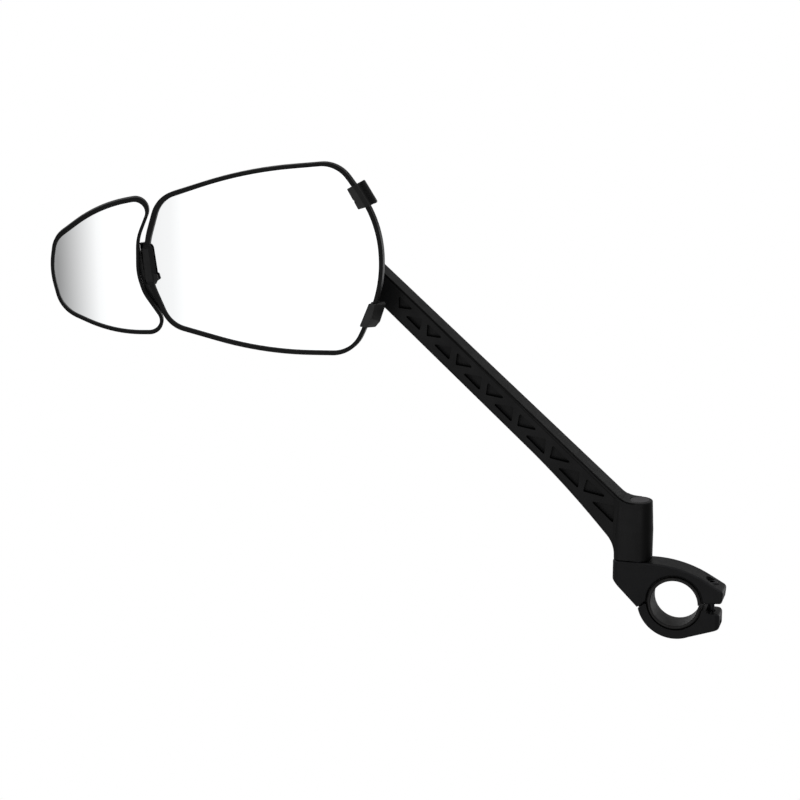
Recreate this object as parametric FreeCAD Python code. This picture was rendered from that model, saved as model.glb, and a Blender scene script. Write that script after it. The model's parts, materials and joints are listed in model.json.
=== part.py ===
import FreeCAD, Part
import math
import os

# Bicycle handlebar mirror: a clamp, a long trussed arm, a ball joint, a main mirror and a hinged wing mirror.
# Millimetres. Origin: centre of the handlebar bore. +Y along the handlebar, +Z up along the arm's swivel axis.

# ---- handlebar clamp ----
BAR_RADIUS = 11.1
SLEEVE_RADIUS = 13.1
SLEEVE_HALF_LENGTH = 6.7
SLEEVE_END_RADIUS = 12.5
SLEEVE_END_LENGTH = 2.6
SLEEVE_CHAMFER = 0.5
SLEEVE_SPLIT = (-1.8, 0.2)
SEAT_RADIUS = 13.2
JAW_HALF_WIDTH = 6.3
UPPER_JAW_LEFT = -29.9
UPPER_JAW_ROUND = 3.6
UPPER_JAW_EDGE = 1.0
UPPER_EAR_ROUND = 2.0
LOWER_JAW_EDGE = 0.7
LOWER_EAR_ROUND = 3.2
LOWER_JAW_RADIUS = 17.6
LAND_Z = 18.5
HINGE_PIN = (-17.8, 1.6)
HINGE_PIN_RADIUS = 1.25
HINGE_EYE_RADIUS = 3.0
HINGE_EYE_HALF_WIDTH = 2.4
HINGE_PIN_ENDS = (-5.0, 5.8)
RUNNING_GAP = 0.06
SCREW_X = 16.6
SCREW_RADIUS = 1.5
SCREW_SEAT_Z = 6.6
SCREW_SEAT_DOME = 8.0
SCREW_WASHER = 0.9
SCREW_HEAD_RADIUS = 2.6
SCREW_HEAD_HEIGHT = 3.0
SCREW_HOLE_RADIUS = 2.1
COUNTERBORE_RADIUS = 2.95
NUT_Z = (-10.4, -8.0)
NUT_ACROSS_FLATS = 5.5
NUT_GAP = 0.1

# ---- arm swivel ----
PIVOT_X = -18.5
BOSS_TOP_RADIUS = 6.1
BOSS_MIDDLE_RADIUS = 6.7
BOSS_BOTTOM_RADIUS = 6.65
BOSS_BOTTOM_Z = 19.1
BOSS_TOP_Z = 47.3
BOSS_EDGE = 0.5
BOSS_SHOULDER_Z = 33.0
BOSS_BORE_RADIUS = 4.65
PIVOT_SCREW_RADIUS = 2.5
PIVOT_SCREW_TIP_Z = 9.6
PIVOT_HEAD_RADIUS = 4.1
PIVOT_HEAD_HEIGHT = 4.0
INSERT_RADIUS = 3.2
INSERT_BOTTOM_Z = 9.0
FLAT_WASHER_RADIUS = 4.15
FLAT_WASHER = 0.8
SPRING_WASHER = 1.2
CAP_HEIGHT = 3.4
CAP_STANDS_OUT = 0.2

# ---- arm ----
ARM_ANGLE = 41.7
ARM_ORIGIN = (-18.5, 34.0)
ARM_LENGTH = 178.6
POST_LEFT = -29.5
POST_TOP_LEFT_Z = 26.2
POST_INSET = 0.06
POST_CORNER = 3.2
ARM_TOP = 4.45
ARM_BOTTOM = -8.2
ARM_HALF_AT_BOSS = 5.9
ARM_HALF_AT_BALL = 4.75
ARM_TOP_EDGE = 0.2
ARM_BOTTOM_EDGE = 1.6
ARM_LINE = (0.3, 0.75)
ARM_LINE_DEPTH = 0.5
POCKET_COUNT = 7
POCKET_DEPTH = 2.2
POCKET_CORNER = 0.5

# ---- ball joint ----
BALL = (-153.0, -7.5, 151.5)
BALL_RADIUS = 5.5
BALL_GAP = 0.08
SEAT_OUTER_RADIUS = 7.3
CUP_RADIUS = 9.5
CUP_FRONT = -11.1
CUP_BACK = 5.2
RING_BACK = -9.5
RING_RADIUS = 8.25
NECK_RADIUS = 2.2
STUD_FACE = -16.9

# ---- mirror head, measured from its front face back ----
HEAD_FRONT = -26.0
RIM_DEPTH = 3.4
RIM_WALL = 0.8
LIP_THICKNESS = 0.9
GLASS_BACK = 2.7
FOAM_BACK = 3.5
SHELL_BACK = 5.7
CARRIER_BACK = 8.1
FIT = 0.1

# corners of the main mirror's outline and of its opening: x, z, radius
MAIN_CORNERS = [
    (-156.9, 204.5, 15.5),
    (-136.5, 178.1, 52.0),
    (-134.9, 146.6, 60.0),
    (-150.0, 113.7, 17.0),
    (-194.0, 111.5, 180.0),
    (-241.6, 121.6, 15.0),
    (-255.6, 153.0, 43.0),
    (-246.1, 183.7, 16.5),
    (-201.5, 199.0, 214.0),
]
MAIN_OPENING = [
    (-157.7, 202.6, 13.9),
    (-138.4, 177.4, 50.2),
    (-136.8, 146.6, 58.2),
    (-151.1, 115.7, 15.3),
    (-193.9, 113.6, 178.3),
    (-240.3, 123.5, 13.2),
    (-253.0, 151.7, 40.7),
    (-243.8, 181.9, 14.0),
    (-201.8, 197.0, 212.2),
]

# the same for the wing mirror, in its own plane and about the wing's datum point
WING_CORNERS = [
    (8.3, 34.7, 6.5),
    (-0.7, 12.4, 24.0),
    (-1.3, -3.9, 30.0),
    (1.3, -13.0, 20.0),
    (15.1, -34.3, 6.7),
    (-14.3, -34.1, 60.0),
    (-39.0, -22.1, 17.0),
    (-43.5, -1.8, 39.5),
    (-40.9, 13.8, 12.0),
    (-19.4, 29.7, 60.0),
]
WING_OPENING = [
    (5.6, 32.1, 5.0),
    (-2.2, 13.0, 25.5),
    (-2.7, -4.1, 31.4),
    (0.1, -13.9, 21.4),
    (12.1, -32.4, 5.2),
    (-14.0, -32.4, 58.5),
    (-37.6, -20.9, 15.5),
    (-41.8, -1.9, 38.0),
    (-39.2, 12.3, 10.2),
    (-18.5, 27.6, 58.0),
]
WING_DATUM = (-254.2, -26.0, 150.7)
WING_YAW = 17.0
WING_PITCH = 3.5

# ---- carrier and rim clips: corners are x, z, corner radius ----
CLIP_LAP = HEAD_FRONT + SHELL_BACK + 1.2
CLIP_LIP = 1.3
CLIP_SLOPE = 1.6
CLIP_SLOPE_DEPTH = 1.2
CLIP_FLANGE_EDGE = 0.35
CLIP_FLANGE = 1.8
CLIP_TAPER_START = 0.3
LEG_HALF_WIDTH = 3.6
CARRIER_LEFT_END = (-241.5, 150.7)
HUB_RADIUS = 8.0
PAD_HALF_WIDTH = 6.0
SPINE_HALF_WIDTH = 1.6
SPINE_HEIGHT = 1.6
UPPER_CLIP = [(-152.2, 192.0, 0.4), (-148.1, 194.3, 0), (-141.7, 184.5, 0), (-146.8, 182.8, 0.4)]
UPPER_FLANGE = [(-150.0, 193.2, 0.4), (-146.2, 195.4, 0.6), (-139.7, 185.2, 0.8), (-145.0, 183.4, 0.4)]
LOWER_CLIP = [
    (-142.0, 139.2, 0.4), (-138.9, 139.3, 0.4), (-140.9, 132.0, 0.4),
    (-142.8, 127.8, 0.4), (-146.5, 128.2, 0.4),
]
LOWER_FLANGE = [
    (-140.5, 138.6, 0.4), (-135.8, 138.9, 1.2), (-139.0, 129.2, 1.2),
    (-141.3, 126.4, 1.0), (-144.0, 126.6, 0.4),
]
CLIP_SCREWS = [(-149.6, 186.2), (-145.0, 134.4), (-241.5, 154.4), (-241.5, 147.0)]
WING_SCREWS = [(-12.0, 5.0), (-12.0, -5.0)]

# ---- wing hinge ----
HINGE_AXIS_POINT = (-254.0, -20.3, 150.7)
HINGE_LEAN = 7.0
KNUCKLE_RADIUS = 1.8
KNUCKLE_HALF = 5.4
BRIDGE_HALF = 9.8
BRIDGE_OUTLINE = [
    (2.5, BRIDGE_HALF, 0), (5.3, BRIDGE_HALF, 0), (6.6, 8.0, 0), (6.9, -5.5, 0), (5.1, -BRIDGE_HALF, 0),
    (2.1, -BRIDGE_HALF, 0), (1.1, -6.0, 0), (2.0, 7.8, 0),
]
BRIDGE_RIDGE = 4.9
BRIDGE_SLOPE = 1.5
BRIDGE_END_BEVEL = (1.3, 1.9)
BRIDGE_HOOK = [(5.5, -3.8, 0), (7.2, -4.8, 0.5), (7.6, -7.4, 0.5), (5.5, -8.6, 0)]
WASHER = 0.5
PIN_RADIUS = 0.8

UP = FreeCAD.Vector(0, 0, 1)
BACK = FreeCAD.Vector(0, 1, 0)


def vec(x, y, z):
    return FreeCAD.Vector(x, y, z)


def corner_arc(before, corner, after, radius):
    """Start, middle and end of the arc that rounds a corner."""
    to_before = before.sub(corner).normalize()
    to_after = after.sub(corner).normalize()
    half = to_before.getAngle(to_after) / 2
    reach = radius / math.tan(half)
    bisector = to_before.add(to_after).normalize()
    centre = corner.add(bisector.multiply(radius / math.sin(half)))
    start = corner.add(to_before.multiply(reach))
    end = corner.add(to_after.multiply(reach))
    towards = corner.sub(centre).normalize()
    return start, centre.add(towards.multiply(radius)), end


def rounded_wire(corners, to_point):
    """A closed wire through corners (a, b, radius), each rounded by its radius."""
    points = [to_point(a, b) for a, b, radius in corners]
    edges = []
    first = None
    last = None
    for i, (a, b, radius) in enumerate(corners):
        here = points[i]
        if radius > 0:
            start, middle, end = corner_arc(points[i - 1], here, points[(i + 1) % len(points)], radius)
            arc = Part.Arc(start, middle, end).toShape()
        else:
            start, end = here, here
            arc = None
        if last is None:
            first = start
        elif last.distanceToPoint(start) > 1e-6:
            edges.append(Part.makeLine(last, start))
        if arc is not None:
            edges.append(arc)
        last = end
    if last.distanceToPoint(first) > 1e-6:
        edges.append(Part.makeLine(last, first))
    return Part.Wire(edges)


def front_face(corners):
    """A face in the XZ plane, for shapes that are extruded along Y."""
    return Part.Face(rounded_wire(corners, lambda a, b: vec(a, 0, b)))


def plan_face(corners):
    """A face in the XY plane, for shapes that are extruded along Z."""
    return Part.Face(rounded_wire(corners, lambda a, b: vec(a, b, 0)))


def slab(face, y_from, y_to):
    placed = face.copy()
    placed.translate(vec(0, y_from, 0))
    return placed.extrude(vec(0, y_to - y_from, 0))


def post(face, z_from, z_to):
    placed = face.copy()
    placed.translate(vec(0, 0, z_from))
    return placed.extrude(vec(0, 0, z_to - z_from))


def rod_y(x, z, radius, y_from, y_to):
    return Part.makeCylinder(radius, y_to - y_from, vec(x, y_from, z), BACK)


def rod_z(x, y, radius, z_from, z_to):
    return Part.makeCylinder(radius, z_to - z_from, vec(x, y, z_from), UP)


def hexagon(across_flats):
    """A regular hexagon in the XY plane, centred on the origin."""
    reach = across_flats / math.sqrt(3)
    turns = [math.radians(60 * i) for i in range(7)]
    return Part.Face(Part.makePolygon([vec(reach * math.cos(t), reach * math.sin(t), 0) for t in turns]))


def hex_bar(across_flats, base, direction, length):
    """A hexagonal bar that starts at base and runs along direction."""
    bar = hexagon(across_flats).extrude(vec(0, 0, length))
    bar.Placement = FreeCAD.Placement(base, FreeCAD.Rotation(UP, direction))
    return bar


def box(x_span, y_span, z_span):
    corner = vec(x_span[0], y_span[0], z_span[0])
    return Part.makeBox(x_span[1] - x_span[0], y_span[1] - y_span[0], z_span[1] - z_span[0], corner)


def edges_where(shape, test):
    return [edge for edge in shape.Edges if test(edge.BoundBox)]


def filleted(shape, radius, test):
    return shape.makeFillet(radius, edges_where(shape, test))


def in_plane_y(y):
    return lambda b: abs(b.YMin - y) < 1e-4 and abs(b.YMax - y) < 1e-4


# ======================= clamp =======================

def upper_jaw():
    """Jaw that carries the arm: flat land on the left, sloping top, ear with the counterbored screw."""
    outline = front_face([
        (UPPER_JAW_LEFT, LAND_Z, 0),
        (3.0, LAND_Z, 52.0),
        (22.8, 7.5, 2.0),
        (22.2, 1.7, 1.4),
        (12.4, 0.8, 0),
        (0.0, -0.5, 0),
        (-13.0, 0.9, 0),
        (-17.4, -3.4, 0.4),
        (UPPER_JAW_LEFT, 9.2, 1.5),
    ])
    w = JAW_HALF_WIDTH
    jaw = slab(outline, -w, w)
    left = UPPER_JAW_LEFT
    left_round = UPPER_JAW_ROUND
    ear_round = UPPER_EAR_ROUND
    plan = plan_face([
        (left, -w, left_round), (23.0, -w, ear_round), (23.0, w, ear_round), (left, w, left_round),
    ])
    jaw = jaw.common(post(plan, -10, 30))
    jaw = jaw.cut(rod_y(0, 0, SEAT_RADIUS, -10, 10))
    jaw = filleted(jaw, UPPER_JAW_EDGE, lambda b: is_long_side_edge(b) and b.ZMax > LAND_Z - 12)
    jaw = jaw.cut(rod_z(SCREW_X, 0, SCREW_HOLE_RADIUS, 0, 12))
    jaw = jaw.cut(rod_z(SCREW_X, 0, COUNTERBORE_RADIUS, SCREW_SEAT_Z, 20).common(screw_dome(0)))
    jaw = jaw.cut(rod_z(PIVOT_X, 0, INSERT_RADIUS, INSERT_BOTTOM_Z, 25))
    jaw = jaw.cut(hinge_slot())
    return jaw.cut(rod_y(*HINGE_PIN, HINGE_PIN_RADIUS, HINGE_PIN_ENDS[0], 10))


def is_long_side_edge(b):
    """Whether an edge lies in one of the jaws' side faces and is not just a short one."""
    on_side = in_plane_y(-JAW_HALF_WIDTH)(b) or in_plane_y(JAW_HALF_WIDTH)(b)
    return on_side and b.XMax - b.XMin > 3


def screw_dome(gap):
    """Ball whose lower surface is the domed seat of the clamp screw's washer."""
    return Part.makeSphere(SCREW_SEAT_DOME - gap, vec(SCREW_X, 0, SCREW_SEAT_Z + SCREW_SEAT_DOME))


def hinge_slot():
    """Room in the upper jaw for the lower jaw's eye and its neck."""
    half = HINGE_EYE_HALF_WIDTH + 0.2
    x, z = HINGE_PIN
    slot = rod_y(x, z, HINGE_EYE_RADIUS + 0.5, -half, half)
    mouth = front_face([(x - 4.4, z, 0), (x + 3.5, z, 0), (x + 5.6, z - 8, 0), (x - 4.4, z - 8, 0)])
    return slot.fuse(slab(mouth, -half, half))


def lower_jaw():
    """Swinging jaw: a half ring, an ear with the trapped nut, and the hinge eye."""
    ring = rod_y(0, 0, LOWER_JAW_RADIUS, -JAW_HALF_WIDTH, JAW_HALF_WIDTH)
    below = front_face([
        (-14.2, -1.5, 0), (-17.1, -4.3, 0), (-24, -8, 0), (-24, -24, 0), (24, -24, 0), (24, -3.7, 0),
    ])
    ring = ring.common(slab(below, -10, 10))
    ear = front_face([
        (0, -2.2, 0), (14.9, -2.2, 0), (15.4, -3.7, 0), (21.3, -3.7, 1.6),
        (21.3, -11.2, 1.6), (4.5, -17.0, 0), (0, -12, 0),
    ])
    w = JAW_HALF_WIDTH
    jaw = ring.fuse(slab(ear, -w, w)).removeSplitter()
    plan = plan_face([(-30, -w, 0), (21.5, -w, LOWER_EAR_ROUND), (21.5, w, LOWER_EAR_ROUND), (-30, w, 0)])
    jaw = jaw.common(post(plan, -30, 10))
    jaw = jaw.cut(rod_y(0, 0, SEAT_RADIUS, -10, 10))
    jaw = filleted(jaw, LOWER_JAW_EDGE, lambda b: is_long_side_edge(b) and b.ZMin < -SEAT_RADIUS - 0.1)
    x, z = HINGE_PIN
    half = HINGE_EYE_HALF_WIDTH
    neck = front_face([
        (x - 2.9, z - 0.8, 0), (x + 3.0, z, 0), (-14.0, -3.4, 0), (-14.2, -7.0, 0), (-16.4, -5.8, 0),
    ])
    jaw = jaw.fuse(rod_y(x, z, HINGE_EYE_RADIUS, -half, half)).fuse(slab(neck, -half, half)).removeSplitter()
    jaw = jaw.cut(rod_y(x, z, HINGE_PIN_RADIUS + RUNNING_GAP, -half - 1, half + 1))
    jaw = jaw.cut(rod_z(SCREW_X, 0, SCREW_HOLE_RADIUS, -14, 0))
    flats = NUT_ACROSS_FLATS / 2 + NUT_GAP / 2
    low, high = NUT_Z[0] - NUT_GAP, NUT_Z[1] + NUT_GAP
    trap = box((SCREW_X, 30), (-flats, flats), (low, high))
    return jaw.cut(trap.fuse(hex_bar(2 * flats, vec(SCREW_X, 0, low), UP, high - low)))


def reducer_sleeve():
    """Split soft sleeve between the jaws and the handlebar."""
    half = SLEEVE_HALF_LENGTH
    step = half - SLEEVE_END_LENGTH
    sleeve = rod_y(0, 0, SLEEVE_RADIUS, -step, step).fuse(rod_y(0, 0, SLEEVE_END_RADIUS, -half, half))
    sleeve = sleeve.removeSplitter().cut(rod_y(0, 0, BAR_RADIUS, -half, half))
    sleeve = sleeve.makeChamfer(SLEEVE_CHAMFER, edges_where(sleeve, at_sleeve_end))
    return sleeve.cut(box((0, 20), (-10, 10), SLEEVE_SPLIT))


def at_sleeve_end(b):
    return in_plane_y(-SLEEVE_HALF_LENGTH)(b) or in_plane_y(SLEEVE_HALF_LENGTH)(b)


def clamp_hinge_pin():
    return rod_y(*HINGE_PIN, HINGE_PIN_RADIUS, *HINGE_PIN_ENDS)


def clamp_screw():
    """Socket head screw that pulls the ears together."""
    under_head = SCREW_SEAT_Z + SCREW_WASHER
    top = under_head + SCREW_HEAD_HEIGHT
    tip = NUT_Z[0]
    screw = rod_z(SCREW_X, 0, SCREW_RADIUS, tip, under_head)
    screw = screw.makeChamfer(0.3, edges_where(screw, lambda b: b.ZMax < tip + 0.01))
    head = rod_z(SCREW_X, 0, SCREW_HEAD_RADIUS, under_head, top)
    head = head.makeChamfer(0.3, edges_where(head, lambda b: b.ZMin > top - 0.1))
    screw = screw.fuse(head).removeSplitter()
    return screw.cut(hex_bar(2.5, vec(SCREW_X, 0, top - 1.7), UP, 3))


def clamp_screw_washer():
    """Washer with a domed underside, so that the screw can lean as the lower jaw opens."""
    washer = rod_z(SCREW_X, 0, SCREW_HEAD_RADIUS, SCREW_SEAT_Z, SCREW_SEAT_Z + SCREW_WASHER)
    washer = washer.common(screw_dome(0.05))
    return washer.cut(rod_z(SCREW_X, 0, SCREW_RADIUS + 0.02, 0, 20))


def clamp_nut():
    nut = hex_bar(NUT_ACROSS_FLATS, vec(SCREW_X, 0, NUT_Z[0]), UP, NUT_Z[1] - NUT_Z[0])
    return nut.cut(rod_z(SCREW_X, 0, SCREW_RADIUS + 0.1, -20, 0))


# ======================= arm swivel =======================

def pivot_insert():
    """Threaded insert with a locking groove round its middle."""
    insert = rod_z(PIVOT_X, 0, INSERT_RADIUS, INSERT_BOTTOM_Z + 0.5, LAND_Z - 0.6)
    groove = rod_z(PIVOT_X, 0, 4, 13.2, 14.2).cut(rod_z(PIVOT_X, 0, 2.95, 13, 15))
    return insert.cut(groove).cut(rod_z(PIVOT_X, 0, PIVOT_SCREW_RADIUS, 5, 20))


def friction_ring():
    ring = rod_z(PIVOT_X, 0, 5.3, LAND_Z, BOSS_BOTTOM_Z)
    return ring.cut(rod_z(PIVOT_X, 0, 3.4, 10, 25))


def pivot_flat_washer():
    washer = rod_z(PIVOT_X, 0, FLAT_WASHER_RADIUS, BOSS_SHOULDER_Z, BOSS_SHOULDER_Z + FLAT_WASHER)
    return washer.cut(rod_z(PIVOT_X, 0, PIVOT_SCREW_RADIUS + 0.1, 30, 40))


def pivot_spring_washer():
    """Split spring washer under the pivot screw's head."""
    z = BOSS_SHOULDER_Z + FLAT_WASHER
    washer = rod_z(PIVOT_X, 0, PIVOT_HEAD_RADIUS, z, z + SPRING_WASHER)
    washer = washer.cut(rod_z(PIVOT_X, 0, PIVOT_SCREW_RADIUS + 0.1, 30, 40))
    return washer.cut(box((PIVOT_X, PIVOT_X + 6), (-0.3, 0.3), (z - 1, z + 2)))


def pivot_screw():
    under_head = BOSS_SHOULDER_Z + FLAT_WASHER + SPRING_WASHER
    top = under_head + PIVOT_HEAD_HEIGHT
    screw = rod_z(PIVOT_X, 0, PIVOT_SCREW_RADIUS, PIVOT_SCREW_TIP_Z, under_head)
    head = rod_z(PIVOT_X, 0, PIVOT_HEAD_RADIUS, under_head, top)
    head = head.makeChamfer(0.4, edges_where(head, lambda b: b.ZMin > top - 0.1))
    screw = screw.fuse(head).removeSplitter()
    return screw.cut(hex_bar(4.0, vec(PIVOT_X, 0, under_head + 1.6), UP, 5))


def boss_cap():
    """Plug that closes the boss above the pivot screw."""
    top = BOSS_TOP_Z + CAP_STANDS_OUT
    cap = rod_z(PIVOT_X, 0, BOSS_BORE_RADIUS - 0.05, top - CAP_HEIGHT, top)
    cap = cap.makeFillet(0.5, edges_where(cap, lambda b: b.ZMin > BOSS_TOP_Z))
    return cap.cut(rod_z(PIVOT_X, 0, 3.2, top - CAP_HEIGHT - 1, top - 1.6))


# ======================= arm =======================

def arm_point(along, across):
    """XZ place of a point given along the arm from the boss, and across it."""
    turn = math.radians(ARM_ANGLE)
    x = ARM_ORIGIN[0] - along * math.cos(turn) + across * math.sin(turn)
    z = ARM_ORIGIN[1] + along * math.sin(turn) + across * math.cos(turn)
    return x, z


def arm_half_thickness(x):
    """The arm thins from the boss to the ball."""
    share = (PIVOT_X - x) / (PIVOT_X - BALL[0])
    return ARM_HALF_AT_BOSS + share * (ARM_HALF_AT_BALL - ARM_HALF_AT_BOSS)


def arm_outline(lower_right):
    """Side outline of the arm; lower_right lists its corners from the boss round to the lower edge."""
    return front_face([
        (*arm_point(ARM_LENGTH, ARM_TOP), 0),
        (-24.9, BOSS_TOP_Z + 0.25, 11.0),
        (PIVOT_X, BOSS_TOP_Z, 0),
        *lower_right,
        (-54.0, 54.0, 420.0),
        (*arm_point(ARM_LENGTH, ARM_BOTTOM), 0),
    ])


def arm_plan(skin):
    """Plan of the arm, which thins towards the ball; skin is taken off each face."""
    far = BALL[0] - 12
    h_far = arm_half_thickness(far) - skin
    h_near = ARM_HALF_AT_BOSS - skin
    return plan_face([(far, -h_far, 0), (PIVOT_X, -h_near, 0), (PIVOT_X, h_near, 0), (far, h_far, 0)])


def soften_beam(beam):
    """Rounds the beam's long edges: the lower ones more than the upper ones."""
    shape = beam
    for side in (-1, 1):
        for radius, lower in ((ARM_BOTTOM_EDGE, True), (ARM_TOP_EDGE, False)):
            picked = [edge for edge in shape.Edges if is_long_edge(edge, side, lower)]
            shape = shape.makeFillet(radius, picked)
    return shape


def is_long_edge(edge, side, lower):
    """Whether an edge runs along the arm, on the given side and above or below the middle."""
    b = edge.BoundBox
    middle = edge.valueAt((edge.FirstParameter + edge.LastParameter) / 2)
    if middle.y * side < 4 or (above_centreline(middle) < 0) != lower:
        return False
    at_ball = b.XMax < BALL[0] + 8 and b.XMax - b.XMin < 9
    level = b.ZMax - b.ZMin < 0.01
    upright = b.XMax - b.XMin < 0.01
    return not (at_ball or level or upright)


def edge_line(outline):
    """Fine groove just below the arm's top edges, on both faces."""
    near, far = ARM_LINE
    band = slab(inset(outline, near), -8, 8).cut(slab(inset(outline, far), -9, 9))
    upper_half = ((9, 0), (200, 0), (200, 20), (9, 20))
    above = front_face([(*arm_point(along, across), 0) for along, across in upper_half])
    return band.common(slab(above, -9, 9)).cut(post(arm_plan(ARM_LINE_DEPTH), 0, 220))


def above_centreline(point):
    """Distance of a point from the arm's centre line, positive on its upper side."""
    turn = math.radians(ARM_ANGLE)
    from_origin_x = point.x - ARM_ORIGIN[0]
    from_origin_z = point.z - ARM_ORIGIN[1]
    across = from_origin_x * math.sin(turn) + from_origin_z * math.cos(turn)
    return across - (ARM_TOP + ARM_BOTTOM) / 2


def pocket_outlines(i):
    """The two triangular pockets of truss bay i: one hangs from the top rail, one stands on the bottom rail."""
    start = 154.9 - 18.5 * i - 0.35 * i * (i - 1)
    upper = [(start + 1.0 - 0.15 * i, 1.3), (start - 8.5 - 0.7 * i, 1.4), (start - 2.8, -3.1 - 0.24 * i)]
    low = start - 7.2 - 0.22 * i
    rail = -3.7 - 0.27 * i
    lower = [(low, rail), (low - 10.1 - 0.77 * i, rail - 0.2), (low - 7.1 - 0.35 * i, 1.2)]
    return upper, lower


def pocket(corners, side):
    """One pocket cut into the arm's front (side -1) or back (side +1) face."""
    points = [(*arm_point(along, across), POCKET_CORNER) for along, across in corners]
    middle_x = sum(point[0] for point in points) / len(points)
    surface = arm_half_thickness(middle_x)
    face = front_face(points)
    if side < 0:
        return slab(face, -surface - 1, -surface + POCKET_DEPTH)
    return slab(face, surface - POCKET_DEPTH, surface + 1)


def swivel_boss():
    """Upright around the pivot screw, slightly fuller at half height."""
    half = (BOSS_TOP_Z - BOSS_BOTTOM_Z) / 2
    lower = Part.makeCone(BOSS_BOTTOM_RADIUS, BOSS_MIDDLE_RADIUS, half, vec(PIVOT_X, 0, BOSS_BOTTOM_Z), UP)
    upper = Part.makeCone(BOSS_MIDDLE_RADIUS, BOSS_TOP_RADIUS, half, vec(PIVOT_X, 0, BOSS_BOTTOM_Z + half), UP)
    upper = upper.makeFillet(BOSS_EDGE, edges_where(upper, lambda b: b.ZMin > BOSS_TOP_Z - 0.1))
    lower = lower.makeFillet(BOSS_EDGE, edges_where(lower, lambda b: b.ZMax < BOSS_BOTTOM_Z + 0.1))
    return lower.fuse(upper)


def arm_post():
    """Thicker upright part between the arm and the swivel boss, rounded on the left."""
    outline = arm_outline([
        (PIVOT_X, BOSS_BOTTOM_Z, 0), (POST_LEFT, BOSS_BOTTOM_Z, 0), (POST_LEFT, POST_TOP_LEFT_Z, 0),
    ])
    heights = (
        (BOSS_BOTTOM_Z - 0.1, BOSS_BOTTOM_RADIUS),
        ((BOSS_BOTTOM_Z + BOSS_TOP_Z) / 2, BOSS_MIDDLE_RADIUS),
        (BOSS_TOP_Z + 1, BOSS_TOP_RADIUS),
    )
    sections = []
    for z, boss_radius in heights:
        half = boss_radius - POST_INSET
        section = plan_face([
            (POST_LEFT, -half, POST_CORNER),
            (PIVOT_X, -half, 0),
            (PIVOT_X, half, 0),
            (POST_LEFT, half, POST_CORNER),
        ])
        section.translate(vec(0, 0, z))
        sections.append(section.OuterWire)
    return slab(outline, -8, 8).common(Part.makeLoft(sections, True, True))


def arm():
    beam_left = POST_LEFT + 0.1
    outline = arm_outline([(PIVOT_X, 19.9, 0), (beam_left, 19.9, 0), (beam_left, POST_TOP_LEFT_Z, 14.2)])
    shape = soften_beam(slab(outline, -8, 8).common(post(arm_plan(0), 0, 220)))
    shape = shape.fuse(arm_post()).cut(edge_line(outline))
    boss = swivel_boss()
    cup = rod_y(BALL[0], BALL[2], CUP_RADIUS, CUP_FRONT, CUP_BACK)
    cup = cup.makeFillet(1.0, edges_where(cup, lambda b: b.YMin > CUP_BACK - 0.1))
    shape = shape.fuse(boss).fuse(cup).removeSplitter()
    for i in range(POCKET_COUNT):
        for corners in pocket_outlines(i):
            for side in (-1, 1):
                shape = shape.cut(pocket(corners, side))
    shape = shape.cut(rod_z(PIVOT_X, 0, PIVOT_SCREW_RADIUS + RUNNING_GAP, 10, 40))
    shape = shape.cut(rod_z(PIVOT_X, 0, BOSS_BORE_RADIUS, BOSS_SHOULDER_Z, 60))
    return shape.cut(cup_cavity())


def cup_cavity():
    """Room for the ball seat, the retaining ring and the tension screw."""
    x, y, z = BALL
    radius = SEAT_OUTER_RADIUS + BALL_GAP
    cavity = Part.makeSphere(radius, vec(*BALL))
    cavity = cavity.common(box((x - 20, x + 20), (y, y + 20), (z - 20, z + 20)))
    cavity = cavity.fuse(rod_y(x, z, radius, RING_BACK - 0.5, y))
    cavity = cavity.fuse(rod_y(x, z, RING_RADIUS + 0.05, CUP_FRONT - 1, RING_BACK))
    return cavity.fuse(rod_y(x, z, 2.55, y, CUP_BACK + 1))


# ======================= ball joint =======================

def ball_retaining_ring():
    x, y, z = BALL
    ring = rod_y(x, z, RING_RADIUS, CUP_FRONT, RING_BACK)
    ring = ring.cut(Part.makeSphere(BALL_RADIUS + BALL_GAP, vec(*BALL)))
    for i in range(4):
        turn = math.radians(45 + 90 * i)
        at_x = x + 6.6 * math.cos(turn)
        at_z = z + 6.6 * math.sin(turn)
        ring = ring.cut(rod_y(at_x, at_z, 0.7, CUP_FRONT - 1, CUP_FRONT + 0.9))
    return ring


def ball_seat():
    """Low-friction cup behind the ball."""
    x, y, z = BALL
    seat = Part.makeSphere(SEAT_OUTER_RADIUS, vec(*BALL))
    seat = seat.cut(Part.makeSphere(BALL_RADIUS + BALL_GAP, vec(*BALL)))
    return seat.common(box((x - 20, x + 20), (y + 0.8, y + 20), (z - 20, z + 20)))


def ball_pressure_pad():
    x, y, z = BALL
    pad = rod_y(x, z, 2.45, y + 5, 1.2)
    return pad.cut(Part.makeSphere(SEAT_OUTER_RADIUS + BALL_GAP, vec(*BALL)))


def ball_tension_screw():
    x, y, z = BALL
    screw = rod_y(x, z, 2.5, 1.2, CUP_BACK - 0.4)
    return screw.cut(hex_bar(2.5, vec(x, 2.6, z), BACK, 4))


def ball_stud():
    """Ball, neck and flange, with a blind hole for the carrier screw."""
    x, y, z = BALL
    stud = Part.makeSphere(BALL_RADIUS, vec(*BALL))
    stud = stud.fuse(rod_y(x, z, NECK_RADIUS, STUD_FACE, y))
    flange = rod_y(x, z, 4.6, STUD_FACE, STUD_FACE + 1.4)
    flange = flange.makeFillet(0.4, edges_where(flange, lambda b: b.YMin > STUD_FACE + 1.3))
    stud = stud.fuse(flange).removeSplitter()
    return stud.cut(rod_y(x, z, 1.5, STUD_FACE - 1, STUD_FACE + 7))


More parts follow.
